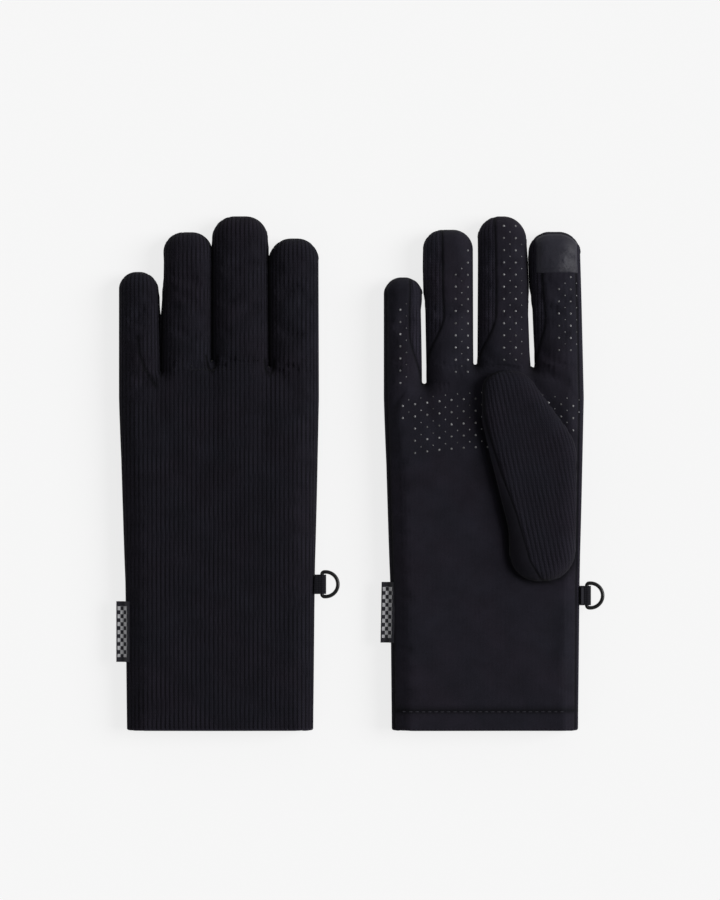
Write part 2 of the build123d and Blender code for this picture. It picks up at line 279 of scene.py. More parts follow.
def roll(distance, radius):
    """A quarter-round profile: 0 on the outline, 1 from radius inwards."""
    return np.sqrt(np.maximum(1 - (1 - np.clip(distance / radius, 0, 1)) ** 2, 0))


def waves(x, y, seed):
    """Slow, uneven waves of the lying fabric, between about -1 and 1."""
    shift = 1.7 * seed
    return (
        np.sin(x / 17.0 + 0.6 * np.sin(y / 31.0 + shift) + shift) * 0.45
        + np.sin(y / 26.0 + 0.8 * np.sin(x / 23.0 - shift) + 2.1 * shift) * 0.35
        + np.sin((x + y) / 11.0 + 1.3 * shift) * 0.2
    )


# Folds of the upper fabric: (x, y) of both ends, half width, height
FOLDS = {
    "left": (
        ((-30, 160), (-22, 128), 4.0, -0.5),
        ((-4, 168), (-2, 132), 4.5, -0.6),
        ((23, 166), (20, 130), 4.5, -0.6),
        ((40, 118), (6, 92), 7.0, 0.5),
        ((-40, 96), (-12, 84), 6.0, -0.35),
        ((-36, 40), (30, 46), 7.0, 0.3),
        ((38, 66), (16, 60), 4.0, -0.4),
    ),
    "right": (
        ((-29, 158), (-24, 140), 3.5, -0.5),
        ((-5, 168), (-6, 150), 3.5, -0.5),
        ((8, 72), (-24, 52), 5.0, -0.45),
        ((10, 84), (-30, 82), 6.0, 0.4),
        ((38, 66), (30, 30), 5.0, -0.4),
        ((-40, 118), (-14, 106), 5.0, -0.35),
        ((-38, 22), (34, 26), 6.0, 0.3),
    ),
}


SETTLED = {}  # per glove: a tree of points on its upper surface, and their settled lift


def settled_lift(side, points):
    """How far the settled cloth lies over the plain surface at each point."""
    if side not in SETTLED:
        return np.zeros(points.shape[:-1])
    tree, lifts = SETTLED[side]
    found = np.zeros(points.reshape(-1, 2).shape[0])
    for index, (x, y) in enumerate(points.reshape(-1, 2).tolist()):
        near = tree.find_n((x, y, 0), 5)
        weights = [1 / (gap * gap + 0.3) for _, _, gap in near]
        total = sum(weight * lifts[which] for weight, (_, which, _) in zip(weights, near))
        found[index] = total / sum(weights)
    return found.reshape(points.shape[:-1])


def relief(side, points):
    """How far folds and waves lift or lower the upper fabric."""
    x, y = points[..., 0], points[..., 1]
    lift = 0.35 * waves(x, y, 1 if side == "left" else 2) + settled_lift(side, points)
    for start, end, width, height in FOLDS[side]:
        distance, _ = nearest(points, np.array([start, end], float))
        lift = lift + height * bell(distance, width)
    if side == "left":
        lift = lift + 1.0 * smooth((thumb_distance(points) + 9) / 16)
    return lift


def surface(side, up, points, distance):
    """The z of the upper or lower surface at points a distance inside the outline."""
    if up:
        y = points[..., 1]
        top = THICKNESS - SAG + relief(side, points)
        top = top - CUFF_SAG * smooth(1 - y / 40) + FINGER_FULLNESS * smooth((y - 165) / 20)
        z = SEAM_HEIGHT + (top - SEAM_HEIGHT) * roll(distance, TOP_ROLL)
        if side == "right":
            z = z - 0.8 * bell(thumb_distance(points), 3.0) * roll(distance, 3.0)
        return z
    z = SEAM_HEIGHT * (1 - roll(distance, FLOOR_ROLL))
    if side == "left":
        z = np.maximum(z, NEST_RISE * smooth((thumb_distance(points) + NEST_RIM) / NEST_RIM))
    return z + FLOOR_GAP[side]


def arc_excess(distance, radius):
    """How much longer the rolled fabric is than its flat width, from a point inwards."""
    share = 1 - np.clip(distance / radius, 0, 1)
    return radius * (np.arcsin(share) - share)


# ---- Patches: grids of points on the fabric ------------------------------------------


def across_steps(width, step=COLUMN_STEP):
    """Shares of the way across a band, evenly spaced along the rolled fabric."""
    count = max(int(TOP_ROLL * pi / 2 / step), 3)
    near = TOP_ROLL * (1 - np.cos(np.linspace(0, pi / 2, count + 1)))
    flat_count = max(int((width - 2 * TOP_ROLL) / step), 2)
    flat = np.linspace(TOP_ROLL, width - TOP_ROLL, flat_count + 1)
    return np.concatenate([near[:-1], flat, (width - near[:-1])[::-1]]) / width


def levels_between(side, low, high, step):
    """Even heights from low to high, with extra ones round the slots' ends."""
    count = max(int(round((high - low) / step)), 1)
    levels = list(np.linspace(low, high, count + 1))
    for height, (_, widths) in zip(SLOT_Y[side], SLOT_GAP[side]):
        for drop in SLOT_END_ROWS:
            level = height - drop * widths[0] / 2
            if low + 0.1 < level < high - 0.1:
                levels.append(level)
    return np.array(sorted(set(levels)))


def band_width(side, finger):
    """The width of a band of fabric below the slots."""
    left, right = (band_side(side, finger, edge, BELOW_SLOTS) for edge in (False, True))
    return float(right - left)


def band_grid(side, finger, levels, column_step=COLUMN_STEP):
    """The points of a band at the given heights."""
    share = across_steps(band_width(side, finger), column_step)
    return across_band(side, finger, share, levels[:, None])


def hand_grid(side, finger, row_step=ROW_STEP, column_step=COLUMN_STEP):
    """The points of the hand's part of a band, from the cuff edge to the finger's base."""
    every = [finger_base(side, other) - BLEND_BEFORE for other in range(len(FINGERS))]
    levels = levels_between(side, 0.0, max(every), row_step)
    levels = np.array(sorted(set(levels) | set(every)))
    return band_grid(side, finger, levels[levels <= every[finger] + 1e-9], column_step)


def finger_grid(side, finger, step=1.3, tip_rows=22, column_step=COLUMN_STEP):
    """The points of a finger's part of a band, with its rows bent round the fingertip."""
    base = finger_base(side, finger) - BLEND_BEFORE
    middle = TIP_Y[side][finger] - TIP_RADIUS[finger] - TOP_ROLL - 2
    lower = band_grid(side, finger, levels_between(side, base, middle, step), column_step)
    share = across_steps(band_width(side, finger), column_step)
    reach = np.sin(np.linspace(0, pi / 2, tip_rows + 1)[1:])[:, None]
    y = middle + (tip_height(side, finger, share) - middle) * reach
    return np.concatenate([lower, across_band(side, finger, share, y)])


OUTLINES = {side: glove_outline(side) for side in SIDES}


class Sheet:
    """A piece's points: where they lie, their place in the knit, and their seams with painted
    shade.
    """

    def __init__(self):
        self.points, self.knit, self.seams, self.faces = [], [], [], []
        self.count = 0

    def add(self, position, knit, seam, flip):
        rows, columns = position.shape[:2]
        index = np.arange(rows - 1)[:, None] * columns + np.arange(columns - 1)
        index = index.reshape(-1) + self.count
        faces = np.stack([index, index + 1, index + columns + 1, index + columns], -1)
        self.faces.append(faces[:, ::-1] if flip else faces)
        self.points.append(position.reshape(-1, 3))
        self.knit.append(knit.reshape(-1, 2))
        self.seams.append(seam.reshape(-1))
        self.count += rows * columns


def lay(side, up, grid):
    """The position and knit coordinates of a grid on the glove's upper or lower surface."""
    distance, way = nearest(grid, OUTLINES[side])
    z = surface(side, up, grid, distance)
    knit = grid + way * arc_excess(distance, TOP_ROLL)[..., None]
    return with_heights(grid, z), knit, distance


def to_frame(side, position):
    """From a glove's outline coordinates in millimetres to the row frame in metres."""
    low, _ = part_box(f"{side}_back_panel")
    origin = np.array([low.x - KNUCKLE[0] * MM, low.y, 0])
    return position * MM + origin


def weld(sheet):
    """The sheet's points with those that meet joined, and its faces, seam by seam."""
    points = np.concatenate(sheet.points)
    keys = np.round(points / WELD).astype(np.int64)
    _, first, back = np.unique(keys, axis=0, return_index=True, return_inverse=True)
    return points[first], back.reshape(-1)[np.concatenate(sheet.faces)], first, back.reshape(-1)


def vertex_normals(points, faces):
    """Area-weighted normals of a mesh of quads, some of which may have shrunk to triangles."""
    a, b, c, d = (points[faces[:, corner]] for corner in range(4))
    across = np.cross(c - a, d - b)
    total = np.zeros_like(points)
    for corner in range(4):
        np.add.at(total, faces[:, corner], across)
    return total / np.maximum(np.linalg.norm(total, axis=1), 1e-12)[:, None]


def linked(name, data):
    """A new object in the scene."""
    obj = bpy.data.objects.new(name, data)
    bpy.context.scene.collection.objects.link(obj)
    return obj


def smooth_object(name, points, faces):
    """An object with a smooth-shaded mesh, in the scene."""
    mesh = bpy.data.meshes.new(name)
    mesh.from_pydata(points, [], faces)
    mesh.polygons.foreach_set("use_smooth", np.ones(len(mesh.polygons), bool))
    mesh.update()
    return linked(name, mesh)


def make_mesh(name, sheet, side, lift=None):
    """A mesh of a sheet, with its knit coordinates as UVs in decimetres and its seams with painted
    shade.

    lift gives each point's height over the sheet in millimetres, from its knit coordinates
    and its seam grooves."""
    points, faces, first, _ = weld(sheet)
    knit = np.concatenate(sheet.knit)
    seam = np.concatenate(sheet.seams)
    corner_knit = knit[np.concatenate(sheet.faces)]
    if lift is not None:
        height = lift(knit[first], seam[first])
        points = points + vertex_normals(points, faces) * height[:, None]
    polygons, uvs = [], []
    for loop, knits in zip(faces.tolist(), corner_knit):
        order = [i for i in range(4) if loop[i] != loop[i - 1]]
        if len(order) >= 3:
            polygons.append([loop[i] for i in order])
            uvs.append(knits[order])
    obj = smooth_object(name, to_frame(side, points).tolist(), polygons)
    layer = obj.data.uv_layers.new(name="knit")
    layer.data.foreach_set("uv", (np.concatenate(uvs) * 0.01).reshape(-1).astype(np.float32))
    shade = obj.data.attributes.new("seam", "FLOAT", "POINT")
    shade.data.foreach_set("value", seam[first].astype(np.float32))
    return obj


def rib_wave(knit, seam):
    """Rounded ribs along y, which flatten out next to a seam."""
    phase = (knit[:, 0] / RIB_PITCH) % 1.0
    crest = np.abs(np.cos(pi * phase)) ** 0.8
    return RIB_DEPTH * (crest - 1) * (1 - seam) - SEAM_DEPTH * seam


def cross_axis_wave(lean):
    """Ribs along an axis that leans from y by an angle."""
    lean = radians(lean)

    def wave(knit, seam):
        turned = np.stack([knit[:, 0] * cos(lean) + knit[:, 1] * sin(lean), knit[:, 1]], -1)
        return rib_wave(turned, seam)

    return wave


def plain_wave(knit, seam):
    """Smooth jersey: no ribs, only the seams pull it in."""
    return -SEAM_DEPTH * seam


def groove_and_painted_shade(gap):
    """How deep a seam's groove is and how dark its painted shade, at a distance from it."""
    return bell(gap, SEAM_SPREAD)


# ---- Hand and fingers ----------------------------------------------------------------

# Where the rib knit wraps onto the palm side: the shares of the way across each finger
# between which the smooth palm fabric lies
PALM_SHARE = {
    "little": (0.075, 0.68),
    "ring": (0.37, 1.0),
    "middle": (0.35, 1.0),
    "index": (0.23, 0.9),
}
STRIP_TAPER = 24.0  # how far up the finger the rib knit narrows to nothing at the slot
HAND_EDGE_SHARE = {0: (0.075, 1.0), 3: (0.0, 0.9)}


def split_columns(share, low, high):
    """The columns of a band left of, between and right of two shares."""
    first = int(np.argmin(np.abs(share - low)))
    last = int(np.argmin(np.abs(share - high)))
    return slice(0, first + 1), slice(first, last + 1), slice(last, len(share))


# Seams round the slots' ends on the left glove's back: lines of points
BACK_SEAMS = (
    ((-39.2, 187.0), (-38.4, 179.0), (-35.4, 171.0), (-30.6, 163.6)),
    ((-6.6, 178.0), (-5.8, 172.6), (-4.1, 170.6), (-2.3, 172.6), (-1.6, 178.0)),
    ((21.4, 176.0), (22.0, 170.8), (23.6, 169.0), (25.2, 170.8), (25.8, 176.0)),
)
NO_SEAM = 99.0  # further than any seam's shading reaches


def back_seam_gap(side, grid):
    """The distance from each point of a glove's back to its seams."""
    gap = np.full(grid.shape[:-1], NO_SEAM)
    for line in BACK_SEAMS if side == "left" else ():
        gap = np.minimum(gap, nearest(grid, np.array(line))[0])
    return gap


def painted_slot_shadow(side, grid):
    """A soft patch of painted shade where the seams meet below each slot."""
    shade = np.zeros(grid.shape[:-1])
    for x, y in zip(SLOT_X[side], SLOT_Y[side]):
        gap = np.hypot(grid[..., 0] - x, (grid[..., 1] - y + 1.5) * 0.8)
        shade = np.maximum(shade, 0.6 * bell(gap, 3.4))
    return shade


def palm_seam_gap(grid, parts, low, high):
    """The distance from each point of a palm side to its seams."""
    gap = np.full(grid.shape[:-1], NO_SEAM)
    if low > 0:
        gap = np.minimum(gap, np.abs(grid[..., 0] - grid[:, [parts[1].start], 0]))
    if high < 1:
        gap = np.minimum(gap, np.abs(grid[..., 0] - grid[:, [parts[1].stop - 1], 0]))
    return gap


def tapered(side, finger, grid, share):
    """Bend the columns that bound the palm fabric towards the slots at the finger's base."""
    base = finger_base(side, finger) - BLEND_BEFORE
    rise = grid[:, 0, 1] - base
    reach = np.where(rise > 0, STRIP_TAPER, STRIP_TAPER / 2)
    keep = 0.05 + 0.95 * smooth(np.abs(rise) / reach)
    columns = [int(np.argmin(np.abs(share - value))) for value in PALM_SHARE[FINGERS[finger]]]
    first, last = share[columns]
    bent = grid.copy()
    for row, part in enumerate(keep):
        low = first if finger == 0 else first * part
        high = last if finger == len(FINGERS) - 1 else 1 - (1 - last) * part
        moved = np.interp(share, (0, first, last, 1), (0, low, high, 1))
        start, end = grid[row, [0, -1], 0]
        if part < 1:
            bent[row, :, 0] = start + (end - start) * moved
    return bent


def lay_both(side, finger, grid, edges, sheets, palm_shade=0.0):
    """Lay one grid on both surfaces: rib knit on the back and round the edges, smooth palm."""
    knit_sheet, palm_sheet = sheets
    back_up = side == "left"
    share = across_steps(band_width(side, finger))
    low, high = edges
    parts = split_columns(share, low, high)
    position, knit, _ = lay(side, back_up, grid)
    knit_sheet.add(position, knit, groove_and_painted_shade(back_seam_gap(side, grid)), not back_up)
    grid = tapered(side, finger, grid, share)
    position, knit, _ = lay(side, not back_up, grid)
    # seam values: seam grooves with painted shade along them, painted shade below the slots, and
    # palm_shade, the painted shade at the hem and round the thumb
    shade = groove_and_painted_shade(palm_seam_gap(grid, parts, low, high))
    shade = np.maximum(np.maximum(shade, painted_slot_shadow(side, grid)), palm_shade)
    for part, wanted, sheet in (
        (parts[0], low > 0, knit_sheet),
        (parts[1], True, palm_sheet),
        (parts[2], high < 1, knit_sheet),
    ):
        if wanted:
            sheet.add(position[:, part], knit[:, part], shade[:, part], back_up)


def hand_pieces(side):
    """The rib-knit back with its wrapped edges, and the smooth palm, of the hand."""
    sheets = Sheet(), Sheet()
    for finger in range(len(FINGERS)):
        grid = hand_grid(side, finger)
        # painted shade: along the hem's seam, along the oval seam round the thumb's base, and the
        # thumb's shadow on the palm beside it
        hem = groove_and_painted_shade((grid[..., 1] - HEM_HEIGHT - 0.6) * 0.5)
        thumb_gap, to_thumb = nearest(grid, THUMB_OUTLINE, closed=True)
        shade_round_thumb = groove_and_painted_shade(thumb_gap / 1.5) * smooth((112 - grid[..., 1]) / 12)
        thumb_shadow = groove_and_painted_shade(thumb_gap / 2.4) * smooth(to_thumb[..., 0] * 2)
        thumb_shadow = thumb_shadow * smooth((165 - grid[..., 1]) / 30)
        shade_round_thumb = np.maximum(shade_round_thumb, 0.9 * thumb_shadow)
        edges = HAND_EDGE_SHARE.get(finger, (0.0, 1.0))
        lay_both(side, finger, grid, edges, sheets, np.maximum(hem, shade_round_thumb))
    knit = make_mesh(f"{side}_hand_back_knit", sheets[0], side, rib_wave)
    palm = make_mesh(f"{side}_hand_palm_jersey", sheets[1], side, plain_wave)
    return knit, palm


def finger_pieces(side, finger):
    """The rib-knit and the smooth part of one finger."""
    name = FINGERS[finger]
    sheets = Sheet(), Sheet()
    lay_both(side, finger, finger_grid(side, finger), PALM_SHARE[name], sheets)
    knit = make_mesh(f"{side}_{name}_back_knit", sheets[0], side, rib_wave)
    palm = make_mesh(f"{side}_{name}_front_jersey", sheets[1], side, plain_wave)
    return knit, palm


def closed_hand(side, row_step, column_step, high):
    """A coarse sheet of both surfaces of the hand up to a height, facing inwards."""
    sheet = Sheet()
    for finger in range(len(FINGERS)):
        grid = hand_grid(side, finger, row_step, column_step)
        grid = grid[grid[:, 0, 1] <= high + 1e-9]
        for up in (True, False):
            position, knit, _ = lay(side, up, grid)
            sheet.add(position, knit, np.zeros(knit.shape[:-1]), up)
    return sheet


def lining_piece(side):
    """The fleece inside the hand, which closes softly behind the fingers' stalls."""
    sheet = closed_hand(side, 3.0, 1.6, max(TIP_Y[side]))

    def inward(knit, seam):
        return np.full(len(seam), LINING_DEPTH)

    return make_mesh(f"{side}_lining_fleece", sheet, side, inward)


def hem_piece(side):
    """The rolled cuff edge and the band turned in behind it."""
    sheet = closed_hand(side, 2.0, COLUMN_STEP, HEM_HEIGHT + 1.0)
    points, faces, first, back = weld(sheet)
    inward = vertex_normals(points, faces)
    knit = np.concatenate(sheet.knit)[first]
    ribs = rib_wave(knit, np.zeros(len(knit)))
    hem = Sheet()
    start = 0
    for block in sheet.points:
        size = len(block)
        index = back[start : start + size]
        start += size
        columns = int(np.sum(np.abs(points[index][:, 1] - points[index][0, 1]) < 1e-6))
        index = index.reshape(-1, columns)
        edge, way = points[index[0]], inward[index[0]]
        rows = []
        for turn in np.linspace(0, pi, 9):
            fade = max(cos(turn), 0) * ribs[index[0]][:, None]
            depth = HEM_DEPTH / 2 * (1 - cos(turn)) - fade
            rows.append(edge + way * depth - np.array([0, sin(turn) * HEM_DEPTH / 2, 0]))
        for row in index[1:]:
            rows.append(points[row] + inward[row] * HEM_DEPTH)
        rows.append(points[index[-1]] + inward[index[-1]] * (LINING_DEPTH - 0.1))
        position = np.array(rows)
        along = np.cumsum(np.full(len(rows), 0.8))[:, None] + np.zeros(columns)
        where = np.stack([np.broadcast_to(knit[index[0], 0], along.shape), along], -1)
        upper = position[0, :, 2].mean() > SEAM_HEIGHT
        hem.add(position, where, np.zeros(along.shape), bool(upper))
    return make_mesh(f"{side}_cuff_hem_band", hem, side)


# ---- Thumb ---------------------------------------------------------------------------

THUMB_ALONG = np.array([-sin(radians(THUMB_LEAN)), cos(radians(THUMB_LEAN))])
THUMB_ACROSS = np.array([cos(radians(THUMB_LEAN)), sin(radians(THUMB_LEAN))])
THUMB_ROLL = 8.0
THUMB_SEAM = ((26.4, 70.6), (20.6, 80.2), (14.4, 101.8), (7.2, 121.4), (0.5, 142.6), (-2.4, 157.0))
THUMB_LEVELS = {  # heights of the outer face, the inner face, the free edge and the sewn edge
    "left": (0.15, 6.7, 3.4, 7.0),
    "right": (19.3, 12.1, 14.7, 11.2),
}
THUMB_BLEND = (5.0, 6.0)


def from_hinge(points):
    """How far points lie along the thumb and across it, from its hinge."""
    offset = np.asarray(points, float) - np.array(THUMB_HINGE)
    return offset @ THUMB_ALONG, offset @ THUMB_ACROSS


def at_hinge(along, across):
    """The points at distances along the thumb and across it, from its hinge."""
    return np.array(THUMB_HINGE) + across[..., None] * THUMB_ACROSS + along[..., None] * THUMB_ALONG


def thumb_sides(levels):
    """Both sides of the thumb's outline at distances along it from its hinge."""
    along, across = from_hinge(THUMB_OUTLINE)
    low, high = int(np.argmin(along)), int(np.argmax(along))
    order = np.arange(len(along))
    first = np.roll(order, -low)
    cut = int(np.where(first == high)[0][0])
    chains = first[: cut + 1], np.concatenate([first[cut:], first[:1]])[::-1]
    sides = [np.interp(levels, along[chain], across[chain]) for chain in chains]
    return np.minimum(*sides), np.maximum(*sides)


def thumb_grid():
    """Two bands up the thumb: the smooth gusset strip, and the rib knit beside it."""
    along, _ = from_hinge(THUMB_OUTLINE)
    low, high = along.min() + 0.02, along.max() - 0.02
    turn = np.linspace(0, pi, 71)
    levels = low + (high - low) * (0.35 * (1 - np.cos(turn)) / 2 + 0.65 * turn / pi)
    left, right = thumb_sides(levels)
    seam = np.interp(levels, *from_hinge(THUMB_SEAM))
    seam = np.clip(seam, left + 0.02 * (right - left), left + 0.8 * (right - left))
    grids = []
    for start, end, count in ((left, seam, 18), (seam, right, 96)):
        share = (1 - np.cos(np.linspace(0, pi, count))) / 2 * 0.5 + np.linspace(0, 1, count) * 0.5
        across = start[:, None] + (end - start)[:, None] * share
        along = np.broadcast_to(levels[:, None], across.shape)
        grids.append(at_hinge(along, across))
    return grids, at_hinge(levels, seam)


def thumb_surface(side, outer, grid, distance):
    """The z of the thumb's outer or inner face at points a distance inside its outline."""
    face, inner, free, sewn = THUMB_LEVELS[side]
    along, _ = from_hinge(grid)
    edge = sewn + (free - sewn) * smooth((along + 16) / 22)
    if not outer:
        return edge + (inner - edge) * roll(distance, 4.0) * smooth((along + 20) / 10)
    wave = 0.3 * waves(grid[..., 0] * 1.4, grid[..., 1] * 1.4, 3)
    pinch = 0.7 * bell(along - 2.0, 7.0)
    direction = 1 if face > inner else -1
    top = face + direction * (wave - 0.3 - pinch) * (1 if side == "right" else 0)
    return edge + (top - edge) * roll(distance, THUMB_ROLL)


def thumb_pieces(side):
    """The thumb's rib-knit outer face, and its smooth gusset strip and inner face."""
    (strip, ribbed), seam_line = thumb_grid()
    knit_sheet, palm_sheet = Sheet(), Sheet()
    flip = side == "left"
    for grid, outer, sheet in (
        (ribbed, True, knit_sheet),
        (strip, True, palm_sheet),
        (strip, False, palm_sheet),
        (ribbed, False, palm_sheet),
    ):
        distance, way = nearest(grid, THUMB_OUTLINE, closed=True)
        position = with_heights(grid, thumb_surface(side, outer, grid, distance))
        knit = grid + way * arc_excess(distance, THUMB_ROLL)[..., None]
        along, _ = from_hinge(grid)
        # painted shade: along the seam line on the outer face, on the thumb's rim, most on the left
        # of its outer face, and on the gusset strip low on the thumb
        shade = groove_and_painted_shade(nearest(grid, seam_line)[0]) * (1.0 if outer else 0.0)
        rim = groove_and_painted_shade(distance / 1.6) * smooth((30 - along) / 30)
        shade = np.maximum(shade, rim * smooth((-way[..., 0] + 0.4) / 0.8) if outer else rim)
        if grid is strip:
            shade = np.maximum(shade, 0.55 * smooth((34 - along) / 20) * smooth((along + 26) / 12))
        sheet.add(position, knit, shade, flip == outer)
    knit = make_mesh(f"{side}_thumb_back_knit", knit_sheet, side, cross_axis_wave(12.0))
    palm = make_mesh(f"{side}_thumb_gusset_jersey", palm_sheet, side, plain_wave)
    return knit, palm


# ---- Small pieces --------------------------------------------------------------------

DOT_RADIUS = 0.56
DOT_RISE = 0.4
SMALL_DOT = (0.32, 0.32, 0.22)  # the fainter dots between the rows
DOT_PITCH = 5.8
FINGER_DOTS = {  # the columns of dots on each finger, and their lowest and highest rows
    "little": ((-40.8, 165.0, 199.9),),
    "ring": ((-14.4, 170.2, 216.8), (-8.6, 170.2, 228.4)),
    "middle": ((8.6, 176.0, 239.8), (14.2, 176.0, 239.8)),
    "index": ((34.8, 180.6, 209.8), (40.4, 180.6, 215.6)),
}
PALM_DOT_COLUMNS = 15
PALM_DOT_ROWS = 5
PALM_DOT_ARCH = 3.6
PALM_DOT_START = (-39.6, 132.6)
THUMB_CLEAR = 3.5  # the bare fabric between a dot and the thumb that is folded over it
DOT_SINK = 0.08
STITCH = (0.95, 0.24, 0.25)  # half its length, half its width, and its rise
STITCH_PITCH = 3.0
STITCH_MARGIN = 6


def dome():
    """A low dome of radius 1 and height 1, as points and faces."""
    rings, sides = 3, 12
    points = [(0.0, 0.0, 1.0)]
    for ring in range(1, rings + 1):
        turn = pi / 2 * ring / rings
        for step in range(sides):
            angle = 2 * pi * step / sides
            points.append((sin(turn) * cos(angle), sin(turn) * sin(angle), cos(turn)))
    faces = [(0, 1 + step, 1 + (step + 1) % sides) for step in range(sides)]
    for ring in range(rings - 1):
        for step in range(sides):
            a, b = 1 + ring * sides + step, 1 + ring * sides + (step + 1) % sides
            faces.append((a, a + sides, b + sides, b))
    return np.array(points), faces


def scatter(name, side, up, spots, sizes):
    """Copies of a low dome on the glove's upper or lower surface, sunk a little into it."""
    shape, shape_faces = dome()
    spots = np.array(spots, float)
    distance, _ = nearest(spots, OUTLINES[side])
    heights = surface(side, up, spots, distance)
    points, faces = [], []
    direction = 1 if up else -1
    for (x, y), z, (wide, long, rise) in zip(spots, heights, sizes):
        offset = len(points) * len(shape)
        points.append(shape * (wide, long, rise * direction) + (x, y, z - DOT_SINK * direction))
        faces += [tuple(index + offset for index in face)[::direction] for face in shape_faces]
    return smooth_object(name, to_frame(side, np.concatenate(points)).tolist(), faces)


def dots_piece(name, side, spots):
    """Printed dots, with a fainter one between each and its neighbours."""
    between = np.array(spots) + DOT_PITCH / 2
    clear = nearest(between, OUTLINES[side])[0] > 2.5
    if side == "left":
        clear &= thumb_distance(between) < -THUMB_CLEAR
    between = between[clear].tolist()
    sizes = [(DOT_RADIUS, DOT_RADIUS, DOT_RISE)] * len(spots) + [SMALL_DOT] * len(between)
    return scatter(name, side, side == "right", spots + between, sizes)


def column_spots(x, low, high):
    """The dots of one column on a finger."""
    rows = int(round((high - low) / DOT_PITCH)) + 1
    return [(x, low + row * DOT_PITCH) for row in range(rows)]


def palm_spots(side):
    """The dots across the palm: those that the folded thumb leaves room for."""
    left, low = PALM_DOT_START
    spots = []
    for column in range(PALM_DOT_COLUMNS):
        for row in range(PALM_DOT_ROWS):
            rise = PALM_DOT_ARCH * sin(pi * column / (PALM_DOT_COLUMNS - 1)) - PALM_DOT_ARCH / 2
            if column > 0 or row > 2:
                spots.append((left + column * DOT_PITCH, low + row * DOT_PITCH + rise))
    if side == "right":
        return spots
    spots = np.array(spots)
    return spots[thumb_distance(spots) < -THUMB_CLEAR].tolist()


def hem_stitches(side):
    """Short stitches along the hem's seam, on the palm side."""
    ends = CUFF[0] + STITCH_MARGIN, CUFF[1] - STITCH_MARGIN
    spots = [(x, HEM_HEIGHT) for x in np.arange(*ends, STITCH_PITCH)]
    sizes = [STITCH] * len(spots)
    return scatter(f"{side}_hem_stitches", side, side == "right", spots, sizes)


def touch_patch(side):
    """The smooth cap on the palm side of the index fingertip, raised by its own thickness."""
    finger, up = 3, side == "right"
    share = 0.13 + 0.8 * np.linspace(0, 1, 41)
    top = tip_height(side, finger, share) - 1.2
    bottom = TIP_Y[side][finger] - 20.0
    reach = np.linspace(0, 1, 41)[:, None]
    y = bottom + (top - bottom) * reach
    grid = across_band(side, finger, share, y)
    distance, _ = nearest(grid, OUTLINES[side])
    z = surface(side, up, grid, distance)
    rim = np.concatenate([grid[0], grid[:, -1], grid[-1, ::-1], grid[::-1, 0]])
    edge, _ = nearest(grid, rim)
    raised = 0.5 * roll(edge, 1.1) - 0.12 - 0.16 * groove_and_painted_shade((edge - 1.7) / 0.5)
    z = z + raised * (1 if up else -1)
    sheet = Sheet()
    # painted shade along the stitched edge's groove
    shade = 0.8 * groove_and_painted_shade((edge - 1.7) / 0.5)
    sheet.add(with_heights(grid, z), grid, shade, not up)
    return make_mesh(f"{side}_index_touch_cap", sheet, side)


def side_label(side):
    """The folded label: a flat tape in the seam, bent up over the glove's rolled edge."""
    low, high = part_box(f"{side}_side_label")
    origin = to_frame(side, np.zeros((1, 3)))[0]
    low = (np.array(low) - origin) / MM
    high = (np.array(high) - origin) / MM
    rows, columns = 40, 13
    middle = (low[2] + high[2]) / 2
    half = 0.36
    tilt = 0.0 if side == "left" else 0.018
    fold = low[0] + 0.3
    reach = (high[0] + 1.6 - low[0]) * np.linspace(0, 1, columns)
    turn = np.linspace(0, pi, 7)[1:-1]
    front = np.stack([fold + reach[::-1], np.full(columns, half)], -1)
    turned = np.stack([fold - half * np.sin(turn), half * np.cos(turn)], -1)
    back = np.stack([fold + reach, np.full(columns, -half)], -1)
    loop = np.concatenate([front, turned, back])
    y = np.linspace(low[1], high[1], rows)
    position = np.zeros((rows, len(loop), 3))
    bend = 2.3 * smooth((loop[:, 0] - high[0] + 1.4) / 2.6)
    position[..., 0] = loop[:, 0] + tilt * (y[:, None] - y.mean())
    position[..., 1] = y[:, None]
    position[..., 2] = middle + loop[:, 1] + bend + 0.12 * np.sin(y[:, None] / 4.0)
    across = np.cumsum(np.hypot(*np.diff(loop, axis=0, prepend=loop[:1]).T))
    knit = np.stack(np.broadcast_arrays(across[None, :], y[:, None] - low[1]), -1)
    sheet = Sheet()
    sheet.add(position, knit, np.zeros(knit.shape[:-1]), True)
    return make_mesh(f"{side}_label_tape", sheet, side)


RING_WIRE = 1.8
RING_CORNER = 1.2
RING_SIDES = 18


def ring_tube(side):
    """The D-ring's wire: a straight bar in the loop, two corners and a round bow."""
    low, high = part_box(f"{side}_d_ring")
    radius = RING_WIRE / 2 * MM
    arc = (high.y - low.y) / 2 - radius
    centre_y, z = (high.y + low.y) / 2, (high.z + low.z) / 2
    bar_x, bow_x = low.x + radius, high.x - radius - arc
    corner = RING_CORNER * MM
    path = []
    for angle in np.linspace(-pi / 2, pi / 2, 40):
        path.append((bow_x + arc * cos(angle), centre_y + arc * sin(angle)))
    for start, end_of_bar in ((pi / 2, 1), (pi, -1)):
        middle_y = centre_y + (arc - corner) * end_of_bar
        for angle in np.linspace(start, start + pi / 2, 8):
            path.append((bar_x + corner + corner * cos(angle), middle_y + corner * sin(angle)))
    path = np.array(path)
    ahead = np.roll(path, -1, 0) - np.roll(path, 1, 0)
    ahead /= np.linalg.norm(ahead, axis=1)[:, None]
    aside = np.stack([ahead[:, 1], -ahead[:, 0]], -1)
    points = []
    for (x, y), (ax, ay) in zip(path, aside):
        for step in range(RING_SIDES):
            angle = 2 * pi * step / RING_SIDES
            out, rise = radius * cos(angle), radius * sin(angle)
            points.append((x + ax * out, y + ay * out, z + rise))
    faces = []
    for i in range(len(path)):
        j = (i + 1) % len(path)
        for step in range(RING_SIDES):
            k = (step + 1) % RING_SIDES
            corners = ((i, step), (j, step), (j, k), (i, k))
            faces.append([ring * RING_SIDES + spot for ring, spot in corners])
    return smooth_object(f"{side}_ring_wire", points, faces)


# ---- Materials -----------------------------------------------------------------------


